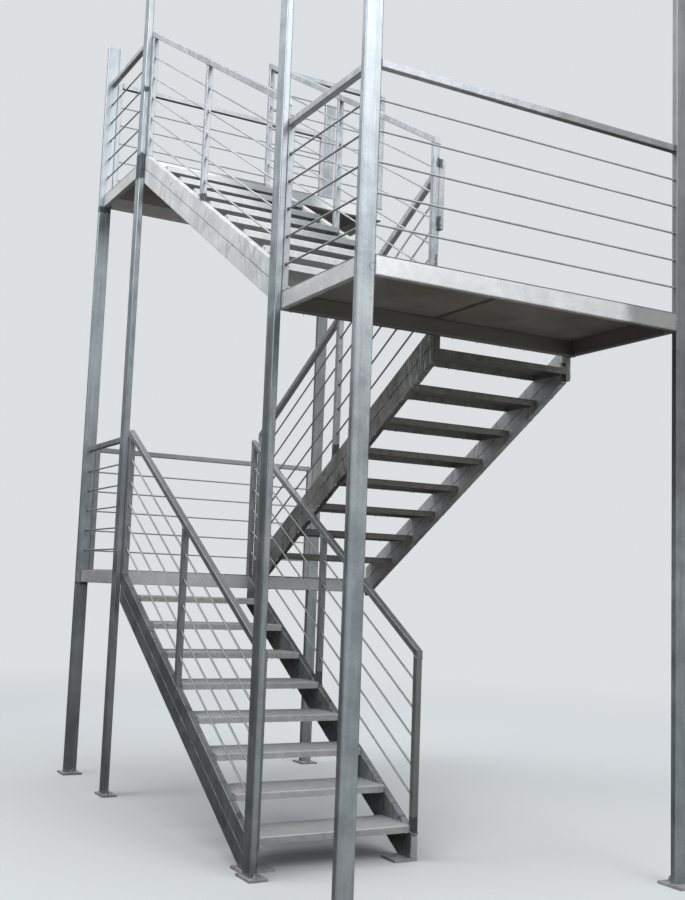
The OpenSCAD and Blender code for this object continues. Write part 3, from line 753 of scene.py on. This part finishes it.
# Lumps of zinc along the lower edges of the stringers
lump = {"length": (0.008, 0.02), "radius": (0.002, 0.004), "depth": 1.2, "spacing": 0.09,
        "spread": (0.5, 1.6), "end": 0.1, "inset": 0.003, "foot": 0.01}
stamps = []
for name, flight in stringers.items():
    low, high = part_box(name + "_stringer")
    turn = Matrix.Rotation(-math.atan(tilt(flight)), 4, "Y")
    x = low.x + lump["end"]
    while x < high.x - lump["end"]:
        z = seamHeight(flight, x, 2)
        if z > low.z + lump["foot"]:
            for y in (low.y + lump["inset"], high.y - lump["inset"]):
                radius = draw.uniform(*lump["radius"])
                size = Matrix.Diagonal((draw.uniform(*lump["length"]), radius, radius * lump["depth"], 1))
                stamps.append((barBlob, Matrix.Translation((x, y, z + lump["inset"])) @ turn @ size))
        x += lump["spacing"] * draw.uniform(*lump["spread"])
joinedPiece("stringer_zinc_lumps", stamps, stringerZinc["upper"])

stamps = []
for level, x in ((line["platformZ"], near - drip["beamEdge"]),
                 (line["platformZ"], line["platformX"] + drip["beamEdge"]),
                 (line["lowerZ"], line["landingX"] - drip["beamEdge"]),
                 (line["upperZ"], line["landingX"] - drip["beamEdge"])):
    z = level - stairs["deck"] - stairs["beamHeight"]
    stamps += dripStamps((x, cornerY[0], z), (x, cornerY[1], z), drip["perBeam"])
joinedPiece("beam_drips", stamps, beamZinc)
print("drops made")


# Anchors of the base plates: washer, nut and threaded stud
anchor = {"washer": (0.0125, 0.0025, 24), "nut": (0.0108, 0.0105, 6), "stud": 0.006, "root": 0.0052,
          "rise": 0.011, "turns": 9, "around": 12, "bevel": 0.0009, "reach": 0.07}


# A disc or prism of a radius, height and number of sides, standing at a height
def buildPrism(shape, size, foot):
    radius, height, sides = size
    return bmesh.ops.create_cone(shape, cap_ends=True, segments=sides, radius1=radius, radius2=radius,
                                 depth=height, matrix=Matrix.Translation((0, 0, foot + height / 2)))


def buildAnchor(shape):
    buildPrism(shape, anchor["washer"], 0)
    nut = buildPrism(shape, anchor["nut"], anchor["washer"][1])
    rims = {edge for vert in nut["verts"] for edge in vert.link_edges}
    chamfer(shape, rims, anchor["bevel"], 2)
    top = anchor["washer"][1] + anchor["nut"][1]
    stud = bmesh.ops.create_circle(shape, cap_ends=True, radius=anchor["stud"], segments=anchor["around"],
                                   matrix=Matrix.Translation((0, 0, top)))
    face = stud["verts"][0].link_faces[0]
    step = anchor["rise"] / (2 * anchor["turns"])
    for _ in range(anchor["turns"]):
        face = growRing(shape, face, step, anchor["root"])
        face = growRing(shape, face, step, anchor["stud"])


anchorMesh = meshOf("anchor", buildAnchor)
plateTop = nearLow.z
stamps = []
for name in columns:
    low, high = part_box(name + "_column")
    for sideways in (-anchor["reach"], anchor["reach"]):
        place = ((low.x + high.x) / 2 + sideways, (low.y + high.y) / 2, plateTop)
        stamps.append((anchorMesh, Matrix.Translation(place) @ Matrix.Rotation(draw.uniform(0, 1), 4, "Z")))
joinedPiece("base_plate_anchors", stamps, plateZinc)

# Two bolts through the hanger on the side away from the railing, heads towards the flights
hangerBolts = {"heights": (3.053, 2.958)}
low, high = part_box("middle_flight_hangers")
stamps = []
for z in hangerBolts["heights"]:
    place = Matrix.Translation(((low.x + high.x) / 2, high.y - side, z))
    stamps.append((anchorMesh, place @ Matrix.Rotation(math.pi / 2, 4, "X")))
joinedPiece("hanger_bolts", stamps, weldPaint)


# Closed filling and vent holes: a thin ring of weld for each, on the near face of the corner columns
plug = {"radius": 0.019, "wire": 0.0013, "steps": 28, "around": 6, "inset": 0.086, "height": 3.134,
        "ventHeight": 2.973, "ventInset": 0.006, "ventShare": 0.4}


def buildPlug(shape):
    wire = Matrix.Translation((plug["radius"], 0, 0)) @ Matrix.Rotation(math.pi / 2, 4, "X")
    made = bmesh.ops.create_circle(shape, cap_ends=False, radius=plug["wire"], segments=plug["around"],
                                   matrix=wire)
    edges = {edge for vert in made["verts"] for edge in vert.link_edges}
    bmesh.ops.spin(shape, geom=made["verts"] + list(edges), cent=(0, 0, 0), axis=(0, 0, 1), angle=2 * math.pi,
                   steps=plug["steps"], use_merge=True)


plugRing = meshOf("plugRing", buildPlug)
upright = Matrix.Rotation(math.pi / 2, 4, "Y")
ventSize = Matrix.Diagonal((plug["ventShare"], plug["ventShare"], 1, 1))
stamps = []
for y in (line["outerY"] + plug["inset"], line["wallY"] - plug["inset"]):
    stamps.append((plugRing, Matrix.Translation((near, y, plug["height"])) @ upright))
    ventPlace = Matrix.Translation((near, y - plug["ventInset"], plug["ventHeight"]))
    stamps.append((plugRing, ventPlace @ upright @ ventSize))
joinedPiece("column_plug_rings", stamps, weldPaint)

# Flat strip under the joint of the platform's two deck sheets
strip = {"width": 0.026, "thickness": 0.005, "bevel": 0.001, "clear": 0.001}


def buildStrip(shape):
    length = near - line["platformX"] - 2 * side - 2 * strip["clear"]
    buildBox(shape, (length, strip["width"], strip["thickness"]), strip["bevel"], 2)


seamLook = {**deckLook, "dark": (0.12, 0.11, 0.1, 1), "light": (0.22, 0.21, 0.19, 1)}
seamZinc = zincMaterial("seamZinc", seamLook)
place = ((near + line["platformX"]) / 2, line["seamY"],
         line["platformZ"] - stairs["deck"] - strip["thickness"] / 2)
stamps = [(meshOf("seamStrip", buildStrip), Matrix.Translation(place))]
joinedPiece("deck_seam_strip", stamps, seamZinc)
print("small parts made")


# Floor, light and camera
studio = {"floor": (0.7, 0.71, 0.71, 1), "floorSize": 60, "rough": 0.9, "shine": 0.1, "fade": (6.5, 15.0),
          "floorBounce": (0.055, 0.052, 0.047, 1), "frontBounce": (0.42, 0.42, 0.4, 1),
          "bounceX": (1.3, 2.9), "bounceY": (-2.5, -0.8), "background": (0.72, 0.74, 0.76, 1),
          "lowSky": (0.03, 0.029, 0.027, 1), "lowNear": (0.4, 0.4, 0.39, 1), "nearX": (0.3, 0.9),
          "nearY": (-0.1, 0.3), "highSky": (1.15, 1.2, 1.25, 1), "skyRise": (0.03, 0.5),
          "sideShade": (0.75, 0.6, 0.35, 1.0), "backShade": (-0.7, 0.1, 0.62, 1.0), "none": (0, 0, 0, 1)}

floorShape = bmesh.new()
bmesh.ops.create_grid(floorShape, x_segments=1, y_segments=1, size=studio["floorSize"])
floorMesh = bpy.data.meshes.new("floor")
floorShape.to_mesh(floorMesh)
floorShape.free()
floor = bpy.data.objects.new("floor", floorMesh)
scene.collection.objects.link(floor)
floorPaint, tree = newMaterial("floorPaint")
seen = add(tree, "LightPath").outputs["Is Camera Ray"]
ground = add(tree, "TexCoord").outputs["Object"]
away = add(tree, "VectorMath", {0: ground}, operation="LENGTH").outputs["Value"]
away = calc(tree, "MULTIPLY", ramp(tree, away, *studio["fade"]), seen)
ways = add(tree, "SeparateXYZ", {0: ground}).outputs
front = ramp(tree, ways[0], *studio["bounceX"])
front = calc(tree, "MULTIPLY", front, ramp(tree, ways[1], *studio["bounceY"]))
bounce = mixColor(tree, front, studio["floorBounce"], studio["frontBounce"])
paint = mixColor(tree, seen, bounce, studio["floor"])
shine = calc(tree, "SUBTRACT", studio["shine"], calc(tree, "MULTIPLY", away, studio["shine"]))
finishMaterial(tree, {"Base Color": mixColor(tree, away, paint, studio["none"]),
                      "Roughness": studio["rough"], "Specular IOR Level": shine,
                      "Emission Color": studio["background"], "Emission Strength": away})
floor.data.materials.append(floorPaint)
floor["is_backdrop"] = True

# World light: bright from above and dark from below, less dark towards +x, and weaker from -x and from +y
world = bpy.data.worlds.new("studio")
world.use_nodes = True
tree = world.node_tree
tree.nodes.clear()
ways = add(tree, "SeparateXYZ", {0: add(tree, "TexCoord").outputs["Generated"]}).outputs
front = ramp(tree, ways[0], *studio["nearX"])
front = calc(tree, "MULTIPLY", front, ramp(tree, ways[1], *studio["nearY"]))
low = mixColor(tree, front, studio["lowSky"], studio["lowNear"])
sky = mixColor(tree, ramp(tree, ways[2], *studio["skyRise"]), low, studio["highSky"])
sideShade = ramp(tree, ways[1], *studio["sideShade"])
shade = calc(tree, "MULTIPLY", sideShade, ramp(tree, ways[0], *studio["backShade"]))
sky = mixColor(tree, shade, studio["none"], sky)
seen = add(tree, "LightPath").outputs["Is Camera Ray"]
tint = mixColor(tree, seen, sky, studio["background"])
add(tree, "OutputWorld", {0: add(tree, "Background", {0: tint}).outputs[0]})
scene.world = world

lamps = {"keyLamp": {"place": (9.5, 0.8, 8.5), "target": (2.0, -0.8, 4.0), "size": 4, "power": 200,
                     "spread": math.pi},
         "sideLamp": {"place": (-1, -9, 10), "target": (-0.5, 0, 5.2), "size": 6, "power": 150,
                      "spread": 1.5}}
for name, values in lamps.items():
    lampData = bpy.data.lights.new(name, "AREA")
    lampData.energy = values["power"]
    lampData.size = values["size"]
    lampData.spread = values["spread"]
    lamp = bpy.data.objects.new(name, lampData)
    lamp.location = values["place"]
    aim = Vector(values["target"]) - Vector(values["place"])
    lamp.rotation_euler = aim.to_track_quat("-Z", "Y").to_euler()
    scene.collection.objects.link(lamp)

# The camera stands where the photo was taken
view = {"height": 24, "lens": 30.714, "place": (7.0632, -3.7840, 1.5597), "turn": (96.7902, -2.0788, 61.0016)}
cameraData = bpy.data.cameras.new("camera")
cameraData.sensor_fit = "VERTICAL"
cameraData.sensor_height = view["height"]
cameraData.lens = view["lens"]
camera = bpy.data.objects.new("camera", cameraData)
camera.location = view["place"]
camera.rotation_euler = [math.radians(angle) for angle in view["turn"]]
scene.collection.objects.link(camera)
scene.camera = camera
scene.view_settings.view_transform = "Standard"
print("studio ready")

low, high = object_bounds()
